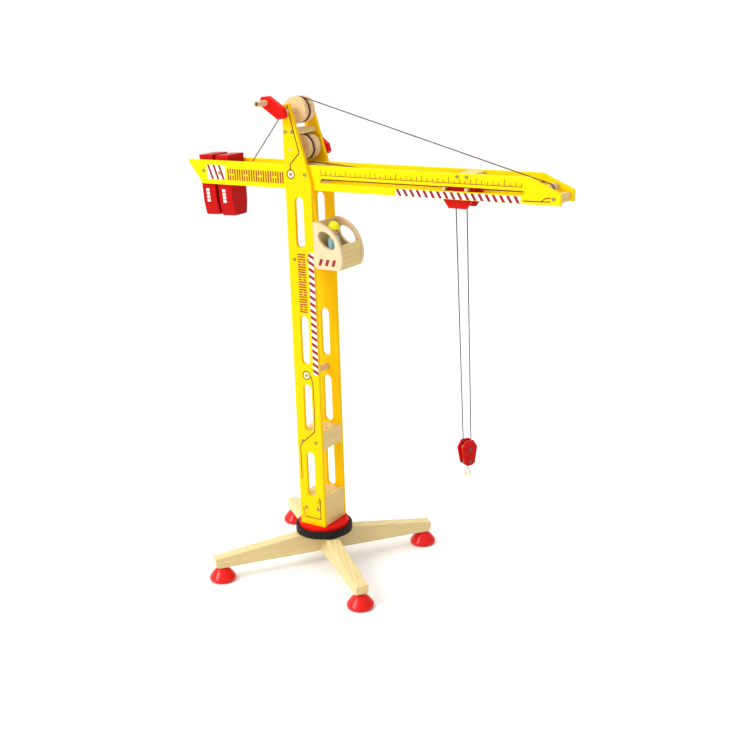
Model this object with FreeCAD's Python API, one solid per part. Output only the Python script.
import FreeCAD, Part
import math
import os

from FreeCAD import Vector

# Toy tower crane. Millimetres, +Z up. The origin is on the floor, on the axis that the mast turns about.
# The jib points along +X, and the near side of the crane faces -Y.

# Driving dimensions -----------------------------------------------------------------------------------------

FIT = 0.02               # radial gap of a fixed pin or screw in its hole
RUNNING = 0.08           # radial gap of a shaft that turns in its hole
EDGE = 0.8               # rounding of sanded wooden edges

FOOT_HEIGHT = 28.0
FOOT_RADIUS = 25.0
FOOT_TOP_RADIUS = 10.5
FOOT_CIRCLE = 207.0      # distance of each foot from the turning axis
BASE_ANGLE = 51.1        # how far plank A is turned from the jib, in degrees
PLANK_WIDTH = 24.0
PLANK_REACH = 221.0
PLANK_TOP = 70.0
PLANK_TIP_TOP = 47.5
PLANK_FLAT = 38.0        # half length of the level middle of a plank's top

RING_OUTER = 55.0
RING_INNER = 49.5
RING_FLOOR = 4.0
RING_HEIGHT = 14.0
DISC_RADIUS = 48.5
WASHER_THICKNESS = 1.0
BOLT_RADIUS = 4.0

PLATE = 7.0              # thickness of every yellow plate
MAST_WIDTH = 55.0
MAST_DEPTH = 75.0        # over both mast plates
MAST_BOTTOM = 91.0
MAST_TOP = 885.0
HEAD_TOP_X = -12.3        # right-hand corner of the head, where the slanted edge ends
HEAD_SLANT_Z = 750.0     # where the slanted edge starts
SLOT_WIDTH = 18.0
MAST_SLOTS = [(150.0, 240.0), (283.0, 375.0), (414.0, 506.0), (632.0, 724.0)]

JIB_BOTTOM = 736.2
JIB_TOP = 779.5
JIB_TIP = 493.6
JIB_TIP_TOP = 755.6
JIB_SLANT_X = 438.6      # where the top edge starts to slant down to the tip
TAIL_X = -254.0
TAIL_FOOT_X = -221.0     # where the tail's slanted end meets the bottom edge
TROLLEY_SLOT = (42.0, 431.0, 749.5, 757.5)
WEIGHT_X = (-214.0, -176.5)
WEIGHT_FOOT_Z = 676.0
WEIGHT_LEAN = 2.5        # degrees, the tops lean to the left

UPPER_AXLE_X = -16.5
LOWER_AXLE_X = -13.5
UPPER_AXLE_Z = 872.5
LOWER_AXLE_Z = 806.5
AXLE_RADIUS = 5.0
DRUM_RADIUS = 23.5
GROOVE_RADIUS = 22.0
UPPER_DRUM = (-14.5, -4.5, 4.5, 16.0)    # near end, groove from, groove to, far end
LOWER_DRUM = (-9.5, -1.3, 10.5, 25.0)

AXLE_TIP_RADIUS = 3.0     # where an axle runs in the plate away from its crank
ARM_LENGTH = 57.6
ARM_WIDTH = 22.8
ARM_THICKNESS = 10.5
ARM_GAP = 16.0           # between a crank arm and the mast plate
FRONT_REACH = 43.0       # axle to the far end of the front crank arm
BACK_REACH = 33.6
PIVOT_INSET = 13.8       # the handle's pivot, from the far end of the arm
HANDLE_RADIUS = 5.0
FRONT_HANDLE = 27.5
BACK_HANDLE = 20.0

ROPE = 1.8               # rope diameter
ROPE_GAP = 0.3           # between a rope and a roller or drum that turns under it
ROPE_LINE = 751.0        # height of the trolley rope inside the jib
ROLLER_RADIUS = 6.5
TIP_ROLLER_X = 462.0
TAIL_ROLLER_X = -130.0

TROLLEY_X = 306.5
TROLLEY_HALF = 20.0      # half of the width over both trolley plates
TROLLEY_PLATE = 6.5
DOWEL_RADIUS = 3.2
DOWEL_REACH = 20.7       # each dowel's distance from the trolley's middle
DOWEL_Z = 753.0
GUIDE_RADIUS = 2.5
GUIDE_X = 14.0
GUIDE_Z = 760.0

HOOK_X = 303.5           # middle of the trolley's two rope guides
BLOCK_X = 313.5          # the hook block hangs a little further out
BLOCK_TURN = 60.0        # degrees, the block is turned about its own upright line
HOOK_PIN_Z = 291.0
HOOK_PULLEY_ROPE = 8.0   # radius of the rope's middle round the hook pulley
HOOK_PLATE = 5.0
HOOK_GAP = 8.0           # between the hook block's two plates

CAB_X = MAST_WIDTH / 2
CAB_FLOOR_Z = 598.0
CAB_FLOOR = 6.0
DRIVER_X = 47.5

MAST_OUT = MAST_DEPTH / 2
MAST_IN = MAST_OUT - PLATE
JIB_OUT = MAST_IN
JIB_IN = JIB_OUT - PLATE
HALF_WIDTH = MAST_WIDTH / 2
RING_Z = PLANK_TOP
DISC_Z = RING_Z + RING_FLOOR + WASHER_THICKNESS
ROLLER_ROPE = ROLLER_RADIUS + ROPE_GAP + ROPE / 2
ROLLER_Z = ROPE_LINE + ROLLER_ROPE
DRUM_ROPE = GROOVE_RADIUS + ROPE_GAP + ROPE / 2
SCREW_RADIUS = 1.6
SCREW_HEAD = 3.4
PIN_RADIUS = 2.0

Y_AXIS = Vector(0, 1, 0)
Z_AXIS = Vector(0, 0, 1)


# Helpers ----------------------------------------------------------------------------------------------------

def save(shape, name):
    shape.exportStep("parts/" + name + ".step")


def group(shapes):
    return Part.makeCompound(shapes)


def box(x0, x1, y0, y1, z0, z1):
    return Part.makeBox(x1 - x0, y1 - y0, z1 - z0, Vector(x0, y0, z0))


def rod_x(y, z, radius, x0, x1):
    return Part.makeCylinder(radius, x1 - x0, Vector(x0, y, z), Vector(1, 0, 0))


def rod_y(x, z, radius, y0, y1):
    return Part.makeCylinder(radius, y1 - y0, Vector(x, y0, z), Y_AXIS)


def rod_z(x, y, radius, z0, z1):
    return Part.makeCylinder(radius, z1 - z0, Vector(x, y, z0), Z_AXIS)


def soften(shape, radius=EDGE):
    """Round every edge a little, as a sanded wooden piece is."""
    return shape.makeFillet(radius, shape.Edges)


def soft_box(x0, x1, y0, y1, z0, z1, radius=EDGE):
    return soften(box(x0, x1, y0, y1, z0, z1), radius)


def line(a, b):
    return Part.LineSegment(Vector(a[0], 0, a[1]), Vector(b[0], 0, b[1])).toShape()


def arc(a, b, c):
    return Part.Arc(Vector(a[0], 0, a[1]), Vector(b[0], 0, b[1]), Vector(c[0], 0, c[1])).toShape()


def extrude_y(edges, y0, thickness):
    """A closed outline in the XZ plane, drawn as edges in order, pushed along +Y from y0."""
    face = Part.Face(Part.Wire(edges))
    face.translate(Vector(0, y0, 0))
    return face.extrude(Vector(0, thickness, 0))


def outline(points):
    return [line(points[i], points[(i + 1) % len(points)]) for i in range(len(points))]


def stadium(x0, x1, z0, z1):
    """Outline of a slot with round ends, along whichever of X and Z is longer."""
    if x1 - x0 > z1 - z0:
        r = (z1 - z0) / 2
        mid = z0 + r
        return [
            line((x0 + r, z0), (x1 - r, z0)),
            arc((x1 - r, z0), (x1, mid), (x1 - r, z1)),
            line((x1 - r, z1), (x0 + r, z1)),
            arc((x0 + r, z1), (x0, mid), (x0 + r, z0)),
        ]
    r = (x1 - x0) / 2
    mid = x0 + r
    return [
        line((x1, z0 + r), (x1, z1 - r)),
        arc((x1, z1 - r), (mid, z1), (x0, z1 - r)),
        line((x0, z1 - r), (x0, z0 + r)),
        arc((x0, z0 + r), (mid, z0), (x1, z0 + r)),
    ]


def round_rims(shape, radius=EDGE):
    """Round the edges of a plate's two faces, and leave its upright corners."""
    rims = [e for e in shape.Edges if e.BoundBox.YLength < 1e-6]
    return shape.makeFillet(radius, rims)


def mirror_y(shape):
    return shape.mirror(Vector(0, 0, 0), Y_AXIS)


def tangent(c1, r1, side1, c2, r2, side2):
    """Where a straight rope touches two circles. A side of 1 is to the left of the way from c1 to c2."""
    dx, dz = c2[0] - c1[0], c2[1] - c1[1]
    span = math.hypot(dx, dz)
    along = (side1 * r1 - side2 * r2) / span
    across = math.sqrt(1 - along ** 2)
    nx = along * dx / span - across * dz / span
    nz = along * dz / span + across * dx / span
    p1 = (c1[0] + side1 * r1 * nx, c1[1] + side1 * r1 * nz)
    p2 = (c2[0] + side2 * r2 * nx, c2[1] + side2 * r2 * nz)
    return p1, p2


def on_circle(centre, radius, angle):
    """A point on a circle in the XZ plane, with the angle in radians from +X towards +Z."""
    return centre[0] + radius * math.cos(angle), centre[1] + radius * math.sin(angle)


def angle_of(centre, point):
    return math.atan2(point[1] - centre[1], point[0] - centre[0])


def wrap(centre, start, end, clockwise):
    """The arc that a rope makes round a circle, from start to end."""
    radius = math.hypot(start[0] - centre[0], start[1] - centre[1])
    a0, a1 = angle_of(centre, start), angle_of(centre, end)
    if clockwise and a1 > a0:
        a1 -= 2 * math.pi
    if not clockwise and a1 < a0:
        a1 += 2 * math.pi
    return arc(start, on_circle(centre, radius, (a0 + a1) / 2), end)


def rope(edges):
    """A round rope along a path of edges in the plane of the jib's middle."""
    path = Part.Wire(edges)
    start = edges[0].valueAt(edges[0].FirstParameter)
    way = edges[0].tangentAt(edges[0].FirstParameter)
    section = Part.Wire(Part.Circle(start, way, ROPE / 2).toShape())
    return path.makePipeShell([section], True, True)


def screw(x, z, y, length, outward):
    """A pan-head screw with a cross recess. Its head stands on the face at y, and outward is -1 or 1 along Y."""
    head_height = 1.5
    head = Part.makeCylinder(SCREW_HEAD, head_height, Vector(0, 0, 0), Z_AXIS)
    rim = [e for e in head.Edges if e.BoundBox.ZMin > head_height - 0.01]
    head = head.makeFillet(1.0, rim)
    for dx, dy in ((1.9, 0.4), (0.4, 1.9)):
        head = head.cut(Part.makeBox(2 * dx, 2 * dy, 1.0, Vector(-dx, -dy, head_height - 0.9)))
    shank = Part.makeCylinder(SCREW_RADIUS, length, Vector(0, 0, -length), Z_AXIS)
    whole = head.fuse(shank).removeSplitter()
    whole.rotate(Vector(0, 0, 0), Vector(1, 0, 0), 90 if outward < 0 else -90)
    whole.translate(Vector(x, y, z))
    return whole


def both_sides(x, z, y, length):
    return [screw(x, z, -y, length, -1), screw(x, z, y, length, 1)]


def drill(shape, places, radius):
    """Holes along Y right through a shape."""
    for x, z in places:
        shape = shape.cut(rod_y(x, z, radius, -MAST_DEPTH, MAST_DEPTH))
    return shape


def turned(shape, degrees):
    shape.rotate(Vector(0, 0, 0), Z_AXIS, degrees)
    return shape


# Places of the screws, as (x, z) ----------------------------------------------------------------------------

FOOT_SCREWS = [(-14.0, 126.0), (13.0, 126.0)]
MIDDLE_SCREWS = [(-15.5, 262.0), (14.5, 262.0)]
DOWEL_SCREW = [(0.0, 393.0)]
CAB_SCREWS = [(-14.5, 611.0), (14.5, 611.0)]
ROOT_SCREWS = [(-14.5, 763.5), (15.0, 763.5)]
HEAD_SCREWS = [(-22.0, 837.0), (-8.5, 837.0)]
MAST_SCREWS = FOOT_SCREWS + MIDDLE_SCREWS + DOWEL_SCREW + CAB_SCREWS + ROOT_SCREWS + HEAD_SCREWS
JIB_MIDDLE_SCREWS = [(312.0, 774.2), (329.0, 774.2)]
TIP_SCREW = [(481.5, 747.0)]
WEIGHT_SCREWS = [(-216.0, 760.0), (-179.0, 757.5)]
JIB_SCREWS = JIB_MIDDLE_SCREWS + TIP_SCREW + WEIGHT_SCREWS


# Base -------------------------------------------------------------------------------------------------------

def plank(notch_from_top, angle):
    low = FOOT_HEIGHT
    flat, rise = PLANK_REACH - 9, low + 9
    edges = [
        line((-flat, low), (flat, low)),
        arc((flat, low), (PLANK_REACH - 2.6, low + 2.6), (PLANK_REACH, rise)),
        line((PLANK_REACH, rise), (PLANK_REACH, PLANK_TIP_TOP)),
        line((PLANK_REACH, PLANK_TIP_TOP), (PLANK_FLAT, PLANK_TOP)),
        line((PLANK_FLAT, PLANK_TOP), (-PLANK_FLAT, PLANK_TOP)),
        line((-PLANK_FLAT, PLANK_TOP), (-PLANK_REACH, PLANK_TIP_TOP)),
        line((-PLANK_REACH, PLANK_TIP_TOP), (-PLANK_REACH, rise)),
        arc((-PLANK_REACH, rise), (-PLANK_REACH + 2.6, low + 2.6), (-flat, low)),
    ]
    half = PLANK_WIDTH / 2
    shape = round_rims(extrude_y(edges, -half, PLANK_WIDTH), 1.5)
    middle = (low + PLANK_TOP) / 2
    notch = half + FIT
    if notch_from_top:
        shape = shape.cut(box(-notch, notch, -PLANK_WIDTH, PLANK_WIDTH, middle, PLANK_TOP + 1))
    else:
        shape = shape.cut(box(-notch, notch, -PLANK_WIDTH, PLANK_WIDTH, low - 1, middle))
    shape = shape.cut(rod_z(0, 0, BOLT_RADIUS + FIT, 0, RING_Z))
    for side in (-1, 1):
        shape = shape.cut(rod_z(side * FOOT_CIRCLE, 0, SCREW_RADIUS + FIT, 0, low + 16))
    return turned(shape, angle)


def foot():
    """A red cone with a rounded skirt and a level top, hollowed a little below for the screw's head."""
    profile = [
        line((0, 0), (FOOT_RADIUS - 5.0, 0)),
        arc((FOOT_RADIUS - 5.0, 0), (FOOT_RADIUS - 1.46, 1.46), (FOOT_RADIUS, 5.0)),
        line((FOOT_RADIUS, 5.0), (FOOT_RADIUS, 8.0)),
        arc((FOOT_RADIUS, 8.0), (FOOT_RADIUS - 6.2, 16.8), (FOOT_TOP_RADIUS + 1.0, 24.5)),
        line((FOOT_TOP_RADIUS + 1.0, 24.5), (FOOT_TOP_RADIUS, FOOT_HEIGHT)),
        line((FOOT_TOP_RADIUS, FOOT_HEIGHT), (0, FOOT_HEIGHT)),
        line((0, FOOT_HEIGHT), (0, 0)),
    ]
    shape = Part.Face(Part.Wire(profile)).revolve(Vector(0, 0, 0), Z_AXIS, 360)
    shape = Part.Solid(Part.Shell(shape.Faces)) if shape.ShapeType != "Solid" else shape
    shape = shape.cut(rod_z(0, 0, 5.0, -1, 8))
    return shape.cut(rod_z(0, 0, SCREW_RADIUS + FIT, 0, FOOT_HEIGHT + 1))


def foot_screw():
    whole = screw(0, 0, 0, 36.0, -1)
    whole.rotate(Vector(0, 0, 0), Vector(1, 0, 0), 90)
    whole.translate(Vector(0, 0, 8))
    return whole


def at_feet(make):
    pieces = []
    for i in range(4):
        piece = make()
        piece.translate(Vector(FOOT_CIRCLE, 0, 0))
        pieces.append(turned(piece, BASE_ANGLE + 90 * i))
    return group(pieces)


def turntable_ring():
    shape = rod_z(0, 0, RING_OUTER, RING_Z, RING_Z + RING_HEIGHT)
    shape = shape.cut(rod_z(0, 0, RING_INNER, RING_Z + RING_FLOOR, RING_Z + RING_HEIGHT + 1))
    rims = [e for e in shape.Edges if e.BoundBox.ZMin > RING_Z + RING_HEIGHT - 0.01]
    shape = shape.makeFillet(1.6, rims)
    return shape.cut(rod_z(0, 0, BOLT_RADIUS + FIT, RING_Z - 1, RING_Z + RING_FLOOR + 1))


def hexagon(across, z0, z1):
    radius = across / math.sqrt(3)
    points = [Vector(radius * math.cos(a), radius * math.sin(a), z0) for a in
              [math.radians(60 * i) for i in range(7)]]
    return Part.Face(Part.makePolygon(points)).extrude(Vector(0, 0, z1 - z0))


def pivot_bolt():
    head = hexagon(13.0, 84.0, 89.0)
    return head.fuse(rod_z(0, 0, BOLT_RADIUS, 19.0, 84.0)).removeSplitter()


def pivot_nut_and_washers():
    nut = hexagon(13.0, FOOT_HEIGHT - 8.0, FOOT_HEIGHT - 1.5)
    upper = rod_z(0, 0, 30.0, RING_Z + RING_FLOOR, DISC_Z)
    lower = rod_z(0, 0, 12.0, FOOT_HEIGHT - 1.5, FOOT_HEIGHT)
    bore = rod_z(0, 0, BOLT_RADIUS + FIT, 0, MAST_BOTTOM)
    return [piece.cut(bore) for piece in (nut, lower, upper)]


def build_base():
    save(plank(True, BASE_ANGLE), "base_plank_a")
    save(plank(False, BASE_ANGLE + 90), "base_plank_b")
    save(at_feet(foot), "feet")
    save(at_feet(foot_screw), "foot_screws")
    save(turntable_ring(), "turntable_ring")
    save(group([pivot_bolt(), *pivot_nut_and_washers()]), "pivot_bolt_and_nut")


# Mast -------------------------------------------------------------------------------------------------------

def turntable_disc():
    shape = rod_z(0, 0, DISC_RADIUS, DISC_Z, MAST_BOTTOM)
    rims = [e for e in shape.Edges if e.BoundBox.ZLength < 1e-6]
    shape = shape.makeFillet(1.2, rims)
    shape = shape.cut(rod_z(0, 0, BOLT_RADIUS + RUNNING, DISC_Z - 1, MAST_BOTTOM))
    shape = shape.cut(rod_z(0, 0, 9.0, 83.5, MAST_BOTTOM + 1))
    for x in (-18.0, 18.0):
        shape = shape.cut(rod_z(x, 0, SCREW_HEAD + 0.4, DISC_Z - 1, DISC_Z + 2.5))
        shape = shape.cut(rod_z(x, 0, SCREW_RADIUS + FIT, DISC_Z, MAST_BOTTOM + 1))
    return shape


def disc_screws():
    screws = []
    for x in (-18.0, 18.0):
        whole = screw(0, 0, 0, 30.0, -1)
        whole.rotate(Vector(0, 0, 0), Vector(1, 0, 0), 90)
        whole.translate(Vector(x, 0, DISC_Z + 2.5))
        screws.append(whole)
    return screws


def mast_plate(upper_hole, lower_hole):
    """The near plate: straight on the left, with a head that slants in on the right."""
    corner = 9.0
    edges = [
        line((-HALF_WIDTH, MAST_BOTTOM), (HALF_WIDTH, MAST_BOTTOM)),
        line((HALF_WIDTH, MAST_BOTTOM), (HALF_WIDTH, HEAD_SLANT_Z)),
        line((HALF_WIDTH, HEAD_SLANT_Z), (HEAD_TOP_X, MAST_TOP)),
        line((HEAD_TOP_X, MAST_TOP), (-HALF_WIDTH + corner, MAST_TOP)),
        arc((-HALF_WIDTH + corner, MAST_TOP),
            (-HALF_WIDTH + corner * 0.293, MAST_TOP - corner * 0.293),
            (-HALF_WIDTH, MAST_TOP - corner)),
        line((-HALF_WIDTH, MAST_TOP - corner), (-HALF_WIDTH, MAST_BOTTOM)),
    ]
    shape = extrude_y(edges, -MAST_OUT, PLATE)
    for z0, z1 in MAST_SLOTS:
        shape = shape.cut(extrude_y(stadium(-SLOT_WIDTH / 2, SLOT_WIDTH / 2, z0, z1), -MAST_OUT, PLATE))
    shape = round_rims(shape)
    shape = drill(shape, MAST_SCREWS, SCREW_RADIUS + FIT)
    shape = drill(shape, [(UPPER_AXLE_X, UPPER_AXLE_Z)], upper_hole + RUNNING)
    return drill(shape, [(LOWER_AXLE_X, LOWER_AXLE_Z)], lower_hole + RUNNING)


def foot_block():
    shape = soft_box(-HALF_WIDTH, HALF_WIDTH, -MAST_IN, MAST_IN, MAST_BOTTOM, 150.0)
    shape = drill(shape, FOOT_SCREWS, SCREW_RADIUS + FIT)
    for x in (-18.0, 18.0):
        shape = shape.cut(rod_z(x, 0, SCREW_RADIUS + FIT, MAST_BOTTOM - 1, 109.0))
    return shape


MIDDLE_HOLES = [(-6.0, -17.0), (13.0, 2.0)]
MIDDLE_HOLE_RADIUS = 2.5
MIDDLE_HOLE_DEPTH = 12.0
MIDDLE_BLOCK_TOP = 280.0


def middle_block():
    shape = soft_box(-HALF_WIDTH, HALF_WIDTH, -MAST_IN, MAST_IN, 246.0, MIDDLE_BLOCK_TOP)
    for x, y in MIDDLE_HOLES:
        low = MIDDLE_BLOCK_TOP - MIDDLE_HOLE_DEPTH
        shape = shape.cut(rod_z(x, y, MIDDLE_HOLE_RADIUS, low, MIDDLE_BLOCK_TOP + 1))
    return drill(shape, MIDDLE_SCREWS, SCREW_RADIUS + FIT)


def cross_dowel():
    return drill(rod_y(0, 393.0, 6.0, -MAST_IN, MAST_IN), DOWEL_SCREW, SCREW_RADIUS + FIT)


def cab_block():
    shape = soft_box(-HALF_WIDTH, HALF_WIDTH, -MAST_IN, MAST_IN, CAB_FLOOR_Z, 626.0)
    return drill(shape, CAB_SCREWS, SCREW_RADIUS + FIT)


def head_block():
    shape = soft_box(-HALF_WIDTH, -3.0, -MAST_IN, MAST_IN, 832.5, 841.0)
    return drill(shape, HEAD_SCREWS, SCREW_RADIUS + FIT)


def root_block():
    """Between the jib plates inside the mast, with a passage for the trolley rope."""
    shape = soft_box(-HALF_WIDTH, HALF_WIDTH, -JIB_IN, JIB_IN, 740.0, 777.5)
    shape = shape.cut(rod_x(0, ROPE_LINE, 3.0, -HALF_WIDTH - 1, HALF_WIDTH + 1))
    return drill(shape, ROOT_SCREWS, SCREW_RADIUS + FIT)


def frame_screws():
    screws = disc_screws()
    for x, z in FOOT_SCREWS + MIDDLE_SCREWS + DOWEL_SCREW + CAB_SCREWS + HEAD_SCREWS:
        screws += both_sides(x, z, MAST_OUT, 24.0)
    for x, z in ROOT_SCREWS:
        screws += both_sides(x, z, MAST_OUT, 28.0)
    for x, z in JIB_SCREWS:
        screws += both_sides(x, z, JIB_OUT, 20.0)
    return group(screws)


def build_mast():
    near = mast_plate(AXLE_RADIUS, AXLE_TIP_RADIUS)
    far = mirror_y(mast_plate(AXLE_TIP_RADIUS, AXLE_RADIUS))
    save(turntable_disc(), "turntable_disc")
    save(near, "mast_plate_near")
    save(far, "mast_plate_far")
    save(foot_block(), "mast_foot_block")
    save(middle_block(), "mast_middle_block")
    save(cross_dowel(), "mast_cross_dowel")
    save(cab_block(), "cab_mount_block")
    save(head_block(), "head_spacer_block")
    save(root_block(), "jib_root_block")
    save(frame_screws(), "frame_screws")


# Jib and counter-jib ----------------------------------------------------------------------------------------

JIB_PINS = [(TIP_ROLLER_X, ROLLER_Z), (TAIL_ROLLER_X, ROLLER_Z), (441.0, 765.5)]
PIN_DEPTH = 4.0          # how far each pin goes into a jib plate, from inside


def jib_plate():
    corner = 8.0
    slope = math.atan2(JIB_TOP - JIB_BOTTOM, TAIL_FOOT_X - TAIL_X)
    tail_low = (TAIL_X + corner * math.cos(slope), JIB_TOP - corner * math.sin(slope))
    edges = [
        line((TAIL_FOOT_X, JIB_BOTTOM), (JIB_TIP, JIB_BOTTOM)),
        line((JIB_TIP, JIB_BOTTOM), (JIB_TIP, JIB_TIP_TOP)),
        line((JIB_TIP, JIB_TIP_TOP), (JIB_SLANT_X, JIB_TOP)),
        line((JIB_SLANT_X, JIB_TOP), (TAIL_X + corner, JIB_TOP)),
        arc((TAIL_X + corner, JIB_TOP), (TAIL_X + 2.6, JIB_TOP - 2.2), tail_low),
        line(tail_low, (TAIL_FOOT_X, JIB_BOTTOM)),
    ]
    shape = extrude_y(edges, -JIB_OUT, PLATE)
    x0, x1, z0, z1 = TROLLEY_SLOT
    shape = round_rims(shape.cut(extrude_y(stadium(x0, x1, z0, z1), -JIB_OUT, PLATE)))
    for x, z in JIB_PINS:
        shape = shape.cut(rod_y(x, z, PIN_RADIUS + FIT, -JIB_IN - PIN_DEPTH, 0))
    return drill(shape, JIB_SCREWS + ROOT_SCREWS, SCREW_RADIUS + FIT)


def jib_middle_block():
    shape = soft_box(306.0, 337.0, -JIB_IN, JIB_IN, 770.5, 778.0)
    return drill(shape, JIB_MIDDLE_SCREWS, SCREW_RADIUS + FIT)


def jib_tip_block():
    shape = soft_box(474.0, 488.0, -JIB_IN, JIB_IN, 738.0, 751.5)
    return drill(shape, TIP_SCREW, SCREW_RADIUS + FIT)


def jib_pins():
    reach = JIB_IN + PIN_DEPTH
    return group([rod_y(x, z, PIN_RADIUS, -reach, reach) for x, z in JIB_PINS])


def roller(x):
    shape = rod_y(x, ROLLER_Z, ROLLER_RADIUS, -JIB_IN + ROPE_GAP, JIB_IN - ROPE_GAP)
    return soften(shape).cut(rod_y(x, ROLLER_Z, PIN_RADIUS + RUNNING, -JIB_IN, JIB_IN))


def counterweight(x_middle):
    """A tall block between the tail's plates, leaning a little, that narrows towards its foot."""
    half_length = 15.5
    half = JIB_IN - 0.2
    sides = [(half, 788.5), (half, 734.0), (half - 1.0, 705.0), (16.5, WEIGHT_FOOT_Z)]
    section = [Vector(x_middle - half_length, y, z) for y, z in sides]
    section += [Vector(x_middle - half_length, -y, z) for y, z in reversed(sides)]
    face = Part.Face(Part.makePolygon(section + section[:1]))
    shape = face.extrude(Vector(2 * half_length, 0, 0))
    low_edges = [e for e in shape.Edges if e.BoundBox.ZMax < WEIGHT_FOOT_Z + 0.1]
    shape = shape.makeFillet(3.5, low_edges)
    ends = [e for e in shape.Edges if e.BoundBox.XLength < 1e-6 and e.BoundBox.ZMin > 704.0]
    shape = shape.makeFillet(1.2, ends)
    shape.rotate(Vector(x_middle, 0, 758.0), Y_AXIS, -WEIGHT_LEAN)
    return drill(shape, WEIGHT_SCREWS, SCREW_RADIUS + FIT)


def build_jib():
    near = jib_plate()
    save(near, "jib_plate_near")
    save(mirror_y(near), "jib_plate_far")
    save(jib_middle_block(), "jib_middle_block")
    save(jib_tip_block(), "jib_tip_block")
    save(jib_pins(), "jib_pins")
    save(roller(TIP_ROLLER_X), "tip_roller")
    save(roller(TAIL_ROLLER_X), "tail_roller")
    save(counterweight(WEIGHT_X[0]), "counterweight_outer")
    save(counterweight(WEIGHT_X[1]), "counterweight_inner")


# Cab and driver ---------------------------------------------------------------------------------------------

WINDOW_CENTRE = (55.5, 649.5)
WINDOW_LONG = 20.5
WINDOW_SHORT = 12.0
WINDOW_TILT = 40.0


def window_cutter(y0, thickness):
    centre = Vector(WINDOW_CENTRE[0], y0, WINDOW_CENTRE[1])
    ellipse = Part.Ellipse(Vector(0, 0, 0), WINDOW_LONG, WINDOW_SHORT).toShape()
    face = Part.Face(Part.Wire(ellipse))
    face.rotate(Vector(0, 0, 0), Vector(1, 0, 0), 90)
    face.rotate(Vector(0, 0, 0), Y_AXIS, WINDOW_TILT)
    face.translate(centre)
    return face.extrude(Vector(0, thickness, 0))


def cab_side():
    """The near side: a bowed front, a level foot and a slanting oval window."""
    top = 681.0
    low = 597.0
    edges = [
        line((CAB_X + 9, low), (81.5, low)),
        arc((81.5, low), (86.0, 608.0), (87.0, 622.0)),
        arc((87.0, 622.0), (71.0, 661.5), (36.0, top)),
        line((36.0, top), (CAB_X, top)),
        line((CAB_X, top), (CAB_X, low + 9)),
        arc((CAB_X, low + 9), (CAB_X + 2.6, low + 2.6), (CAB_X + 9, low)),
    ]
    shape = extrude_y(edges, -MAST_OUT, PLATE)
    return round_rims(shape.cut(window_cutter(-MAST_OUT, PLATE)))


def driver_body():
    """Legs, chest and two plain arms, as one turned and glued figure."""
    legs = soft_box(DRIVER_X - 7.5, DRIVER_X + 7.5, -10, 10, CAB_FLOOR_Z + CAB_FLOOR, 630.0, 2.0)
    chest = Part.makeCone(12.5, 8.0, 23.0, Vector(DRIVER_X, 0, 630.0), Z_AXIS)
    pieces = [chest]
    for side in (-1, 1):
        shoulder = Vector(DRIVER_X - 1, side * 10.5, 646.5)
        hand = Vector(DRIVER_X + 1, side * 15.5, 628.0)
        pieces.append(Part.makeCylinder(4.4, (hand - shoulder).Length, shoulder, hand - shoulder))
        pieces += [Part.makeSphere(4.4, shoulder), Part.makeSphere(4.4, hand)]
    return legs.fuse(pieces).removeSplitter()


def driver_head():
    return Part.makeSphere(9.0, Vector(DRIVER_X, 0, 661.6)).cut(
        box(DRIVER_X - 10, DRIVER_X + 10, -10, 10, 647.0, 653.0))


def driver_helmet():
    dome = Part.makeSphere(10.4, Vector(DRIVER_X, 0, 668.0))
    dome = dome.cut(box(DRIVER_X - 12, DRIVER_X + 12, -12, 12, 655.0, 665.0))
    brim = rod_z(DRIVER_X + 2.0, 0, 10.8, 665.0, 666.4)
    return dome.fuse(brim).removeSplitter().cut(Part.makeSphere(9.05, Vector(DRIVER_X, 0, 661.6)))


def cab_back():
    """The upright board behind the driver, with its foot on the floor board."""
    return soft_box(CAB_X + 0.3, CAB_X + 4.3, -MAST_IN, MAST_IN, CAB_FLOOR_Z + CAB_FLOOR, 680.0)


def build_cab():
    near = cab_side()
    inside = MAST_IN
    save(near, "cab_side_near")
    save(cab_back(), "cab_back_panel")
    save(mirror_y(near), "cab_side_far")
    save(soft_box(78.5, 84.5, -inside, inside, CAB_FLOOR_Z, 641.0), "cab_front_panel")
    floor = soft_box(CAB_X, 78.5, -inside, inside, CAB_FLOOR_Z, CAB_FLOOR_Z + CAB_FLOOR)
    save(floor, "cab_floor")
    save(driver_body(), "driver_body")
    save(driver_head(), "driver_head")
    save(driver_helmet(), "driver_helmet")


# Drums and cranks -------------------------------------------------------------------------------------------

UPPER = (UPPER_AXLE_X, UPPER_AXLE_Z)
LOWER = (LOWER_AXLE_X, LOWER_AXLE_Z)


def drum(x, z, ends):
    near, groove_near, groove_far, far = ends
    shape = rod_y(x, z, DRUM_RADIUS, near, far)
    ring = rod_y(x, z, DRUM_RADIUS + 1, groove_near, groove_far)
    shape = shape.cut(ring.cut(rod_y(x, z, GROOVE_RADIUS, groove_near, groove_far)))
    rims = [e for e in shape.Edges if e.BoundBox.YLength < 1e-6 and e.BoundBox.XLength > 2 * DRUM_RADIUS - 0.1]
    shape = shape.makeFillet(0.8, rims)
    return shape.cut(rod_y(x, z, AXLE_RADIUS + FIT, near - 1, far + 1))


def winding(x, z, bands):
    """The turns of rope on a drum, as plain bands beside the place where the rope leaves."""
    turns = []
    for y0, y1 in bands:
        band = rod_y(x, z, GROOVE_RADIUS + ROPE * 0.9, y0, y1)
        turns.append(band.cut(rod_y(x, z, GROOVE_RADIUS + FIT, y0, y1)))
    return group(turns)


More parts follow.
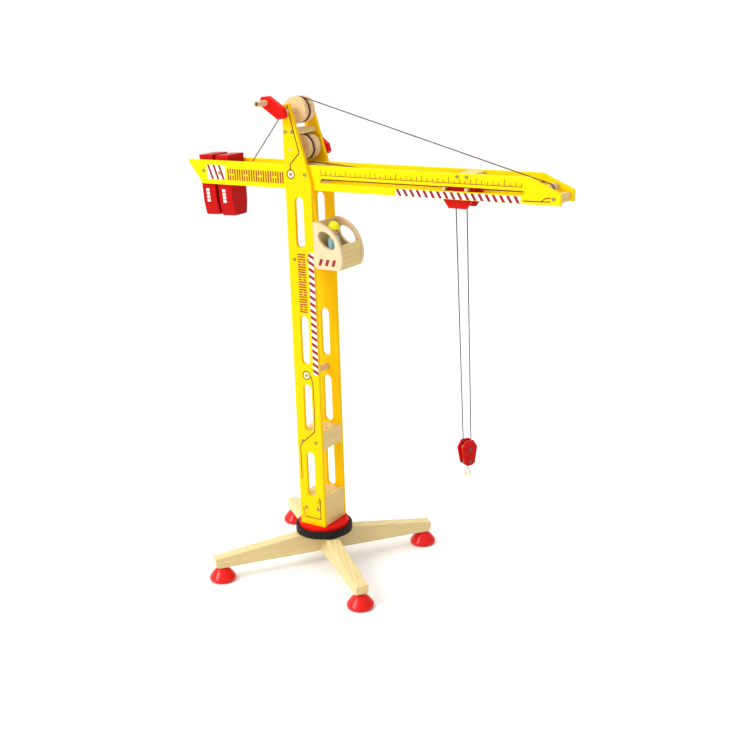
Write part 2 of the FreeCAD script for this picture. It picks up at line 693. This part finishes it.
def crank_parts(reach, handle_length, side):
    """The axle, arm, handle and handle screw of one crank. Side is -1 for the near end, 1 for the far end.
    The arm is drawn along -X, and turned to its place afterwards."""
    cut_long, cut_short = 10.5, 8.5
    half = ARM_WIDTH / 2
    end = ARM_LENGTH - reach
    inner = MAST_OUT + ARM_GAP
    outer = inner + ARM_THICKNESS
    points = [
        (end, -half + cut_short), (end, half - cut_short), (end - cut_long, half),
        (-reach + cut_long, half), (-reach, half - cut_short), (-reach, -half + cut_short),
        (-reach + cut_long, -half), (end - cut_long, -half),
    ]
    arm = soften(extrude_y(outline(points), -outer, ARM_THICKNESS), 0.9)
    socket = outer - 3.0
    arm = arm.cut(rod_y(0, 0, AXLE_RADIUS + FIT, -socket, -inner + 1))
    pivot = -reach + PIVOT_INSET
    arm = arm.cut(rod_y(pivot, 0, SCREW_RADIUS + FIT, -outer - 1, -inner - 1))
    axle = rod_y(0, 0, AXLE_RADIUS, -socket + FIT, MAST_IN - 1.0)
    axle = axle.fuse(rod_y(0, 0, AXLE_TIP_RADIUS, MAST_IN - 2.0, MAST_OUT)).removeSplitter()
    tip = outer + ROPE_GAP + handle_length
    handle = rod_y(pivot, 0, HANDLE_RADIUS, -tip, -outer - ROPE_GAP)
    handle = soften(handle, 0.7).cut(rod_y(pivot, 0, SCREW_RADIUS + RUNNING, -tip, -outer))
    recess = 7.0
    handle = handle.cut(rod_y(pivot, 0, SCREW_HEAD + 0.4, -tip - 1, -tip + recess))
    head_y = -tip + recess - ROPE_GAP
    handle_screw = screw(pivot, 0, head_y, -head_y - inner - 2, -1)
    parts = [axle, arm, handle, handle_screw]
    if side > 0:
        parts = [mirror_y(p) for p in parts]
    return parts


def place_crank(parts, x, z, degrees):
    """Turn a crank about its axle, and move it to its place."""
    for part in parts:
        part.rotate(Vector(0, 0, 0), Y_AXIS, degrees)
        part.translate(Vector(x, 0, z))


def build_winches():
    winches = (
        ("upper", "front", UPPER, UPPER_DRUM, ((-3.9, -1.3), (1.3, 3.9)), (FRONT_REACH, FRONT_HANDLE, -1), 33.0),
        ("lower", "back", LOWER, LOWER_DRUM, ((1.4, 9.9),), (BACK_REACH, BACK_HANDLE, 1), 37.0),
    )
    for level, end, (x, z), ends, bands, crank, degrees in winches:
        parts = crank_parts(*crank)
        place_crank(parts, x, z, degrees)
        axle, arm, handle, handle_screw = parts
        save(drum(x, z, ends), level + "_drum")
        save(winding(x, z, bands), level + "_drum_rope")
        save(axle, level + "_axle")
        save(arm, end + "_crank_arm")
        save(handle, end + "_crank_handle")
        save(handle_screw, end + "_handle_screw")


# Trolley ----------------------------------------------------------------------------------------------------

def trolley_plate():
    """The near plate: wide where it runs between the jib plates, and narrowed below them."""
    half_sides = [(16.5, 719.5), (26.0, 733.0), (29.3, 745.0), (29.3, 765.0)]
    right = [(TROLLEY_X + w, z) for w, z in half_sides]
    left = [(TROLLEY_X - w, z) for w, z in reversed(half_sides)]
    shape = soften(extrude_y(outline(right + left), -TROLLEY_HALF, TROLLEY_PLATE), 0.7)
    dowels = [(TROLLEY_X - DOWEL_REACH, DOWEL_Z), (TROLLEY_X + DOWEL_REACH, DOWEL_Z)]
    guides = [(TROLLEY_X + HOOK_SHIFT - GUIDE_X, GUIDE_Z), (TROLLEY_X + HOOK_SHIFT + GUIDE_X, GUIDE_Z)]
    shape = drill(shape, dowels, DOWEL_RADIUS + FIT)
    return drill(shape, guides, GUIDE_RADIUS + FIT)


HOOK_SHIFT = HOOK_X - TROLLEY_X


def trolley_dowels():
    reach = JIB_OUT - 1.0
    places = (TROLLEY_X - DOWEL_REACH, TROLLEY_X + DOWEL_REACH)
    return group([soften(rod_y(x, DOWEL_Z, DOWEL_RADIUS, -reach, reach), 0.5) for x in places])


def trolley_guides():
    places = (HOOK_X - GUIDE_X, HOOK_X + GUIDE_X)
    return group([rod_y(x, GUIDE_Z, GUIDE_RADIUS, -TROLLEY_HALF, TROLLEY_HALF) for x in places])


def build_trolley():
    near = trolley_plate()
    save(near, "trolley_plate_near")
    save(mirror_y(near), "trolley_plate_far")
    save(trolley_dowels(), "trolley_dowels")
    save(trolley_guides(), "trolley_guides")


# Hook block -------------------------------------------------------------------------------------------------

HOOK_SPACER_Z = 268.5


def hook_plate():
    half_sides = [(8.0, 307.0), (16.0, 294.0), (10.5, 264.0), (5.0, 260.5)]
    right = [(BLOCK_X + w, z) for w, z in half_sides]
    left = [(BLOCK_X - w, z) for w, z in reversed(half_sides)]
    outer = HOOK_GAP / 2 + HOOK_PLATE
    shape = soften(extrude_y(outline(right + left), -outer, HOOK_PLATE), 1.0)
    return drill(shape, [(BLOCK_X, HOOK_PIN_Z), (BLOCK_X, HOOK_SPACER_Z)], PIN_RADIUS + FIT)


def hook_pulley():
    half = 3.0
    groove = 1.5
    shape = rod_y(BLOCK_X, HOOK_PIN_Z, 10.0, -half, half)
    ring = rod_y(BLOCK_X, HOOK_PIN_Z, 12.0, -groove, groove)
    floor_radius = HOOK_PULLEY_ROPE - ROPE / 2 - ROPE_GAP
    shape = shape.cut(ring.cut(rod_y(BLOCK_X, HOOK_PIN_Z, floor_radius, -groove, groove)))
    return shape.cut(rod_y(BLOCK_X, HOOK_PIN_Z, PIN_RADIUS + RUNNING, -half, half))


def hook_pins():
    """The pulley's pin and the spacer's rivet, with low round heads on the plates."""
    outer = HOOK_GAP / 2 + HOOK_PLATE
    pins = []
    for z in (HOOK_PIN_Z, HOOK_SPACER_Z):
        pin = rod_y(BLOCK_X, z, PIN_RADIUS, -outer, outer)
        for y in (-outer - 1.2, outer):
            pin = pin.fuse(rod_y(BLOCK_X, z, 3.2, y, y + 1.2))
        pins.append(pin.removeSplitter())
    return group(pins)


def hook_spacer():
    half = HOOK_GAP / 2
    shape = box(BLOCK_X - 8, BLOCK_X + 8, -half, half, 262.0, 275.0)
    shape = shape.cut(rod_z(BLOCK_X, 0, 1.75 + RUNNING, 261.0, 266.0))
    shape = shape.cut(rod_z(BLOCK_X, 0, 1.75 + RUNNING + 0.9, 263.6, 266.2))
    return shape.cut(rod_y(BLOCK_X, HOOK_SPACER_Z, PIN_RADIUS + FIT, -half - 1, half + 1))


def hook():
    """A small round-section hook on a shank that turns in the spacer."""
    radius = 1.75
    bend = 5.6
    centre_z = 246.0
    shank_low = centre_z + bend
    left_x = BLOCK_X - 1.0
    path = Part.Wire([
        line((BLOCK_X, 262.0), (BLOCK_X, shank_low + 4.0)),
        arc((BLOCK_X, shank_low + 4.0), (BLOCK_X + 1.4, shank_low + 0.6), (BLOCK_X + 4.0, centre_z + 3.9)),
        arc((BLOCK_X + 4.0, centre_z + 3.9), (BLOCK_X, centre_z - bend), (BLOCK_X - 5.5, centre_z + 1.2)),
    ])
    start = Vector(BLOCK_X, 0, 262.0)
    section = Part.Wire(Part.Circle(start, Z_AXIS, radius).toShape())
    shape = path.makePipeShell([section], True, True)
    neck = rod_z(BLOCK_X, 0, radius, 261.9, 264.0)
    collar = rod_z(BLOCK_X, 0, radius + 0.8, 263.8, 265.6)
    tip = Part.makeSphere(radius, Vector(BLOCK_X - 5.5, 0, centre_z + 1.2))
    return shape.fuse([neck, collar, tip]).removeSplitter()


def turn_block(shape):
    shape.rotate(Vector(BLOCK_X, 0, 0), Z_AXIS, BLOCK_TURN)
    return shape


def build_hook_block():
    near = hook_plate()
    far = mirror_y(near)
    save(turn_block(near), "hook_plate_near")
    save(turn_block(far), "hook_plate_far")
    save(turn_block(hook_pulley()), "hook_pulley")
    save(turn_block(hook_pins()), "hook_pins")
    save(turn_block(hook_spacer()), "hook_spacer")
    save(hook(), "hook")


# Ropes ------------------------------------------------------------------------------------------------------

TIP = (TIP_ROLLER_X, ROLLER_Z)
TAIL = (TAIL_ROLLER_X, ROLLER_Z)
REAR_GUIDE = (HOOK_X - GUIDE_X, GUIDE_Z)
FRONT_GUIDE = (HOOK_X + GUIDE_X, GUIDE_Z)
GUIDE_ROPE = GUIDE_RADIUS + ROPE / 2 + 0.05
ANCHOR = JIB_PINS[2]


def trolley_rope():
    """The stretches that keep their place: drum to tip roller, and drum to tail roller."""
    leave, meet = tangent(UPPER, DRUM_ROPE, 1, TIP, ROLLER_ROPE, 1)
    under_tip = (TIP[0], ROPE_LINE)
    front = rope([line(leave, meet), wrap(TIP, meet, under_tip, True)])
    leave, meet = tangent(UPPER, DRUM_ROPE, -1, TAIL, ROLLER_ROPE, -1)
    under_tail = (TAIL[0], ROPE_LINE)
    rear = rope([line(leave, meet), wrap(TAIL, meet, under_tail, False)])
    return group([front, rear])


def trolley_rope_runs():
    """The two stretches inside the jib that grow and shrink as the trolley runs."""
    gap = DOWEL_RADIUS + 0.1
    rear = rope([line((TAIL[0], ROPE_LINE), (TROLLEY_X - DOWEL_REACH - gap, ROPE_LINE))])
    front = rope([line((TIP[0], ROPE_LINE), (TROLLEY_X + DOWEL_REACH + gap, ROPE_LINE))])
    return group([rear, front])


def hoist_rope_runs():
    """From the lower drum to the trolley, and from the trolley to the anchor pin near the tip."""
    leave, meet = tangent(LOWER, DRUM_ROPE, -1, REAR_GUIDE, GUIDE_ROPE, 1)
    rear = rope([line(leave, meet)])
    over = (FRONT_GUIDE[0], GUIDE_Z + GUIDE_ROPE)
    front = rope([line(over, (ANCHOR[0] - PIN_RADIUS - ROPE / 2, ANCHOR[1]))])
    return group([rear, front])


def fall(top, reach):
    """A straight fall from a guide to one side of the turned pulley."""
    turn = math.radians(BLOCK_TURN)
    low = Vector(BLOCK_X + reach * math.cos(turn), reach * math.sin(turn), HOOK_PIN_Z)
    return Part.LineSegment(Vector(top[0], 0, top[1]), low).toShape()


def hoist_rope_falls():
    """Over each guide and down to the hook block's pulley."""
    falls = []
    leave, meet = tangent(LOWER, DRUM_ROPE, -1, REAR_GUIDE, GUIDE_ROPE, 1)
    side = (REAR_GUIDE[0] + GUIDE_ROPE, GUIDE_Z)
    falls.append(rope([wrap(REAR_GUIDE, meet, side, True), fall(side, -HOOK_PULLEY_ROPE)]))
    over = (FRONT_GUIDE[0], GUIDE_Z + GUIDE_ROPE)
    side = (FRONT_GUIDE[0] - GUIDE_ROPE, GUIDE_Z)
    falls.append(rope([wrap(FRONT_GUIDE, over, side, False), fall(side, HOOK_PULLEY_ROPE)]))
    return group(falls)


def hoist_rope_bend():
    left = (BLOCK_X - HOOK_PULLEY_ROPE, HOOK_PIN_Z)
    right = (BLOCK_X + HOOK_PULLEY_ROPE, HOOK_PIN_Z)
    return turn_block(rope([wrap((BLOCK_X, HOOK_PIN_Z), left, right, False)]))


def build_ropes():
    save(trolley_rope(), "trolley_rope")
    save(trolley_rope_runs(), "trolley_rope_runs")
    save(hoist_rope_runs(), "hoist_rope_runs")
    save(hoist_rope_falls(), "hoist_rope_falls")
    save(hoist_rope_bend(), "hoist_rope_bend")


os.makedirs("parts", exist_ok=True)
build_base()
build_mast()
build_jib()
build_cab()
build_winches()
build_trolley()
build_hook_block()
build_ropes()
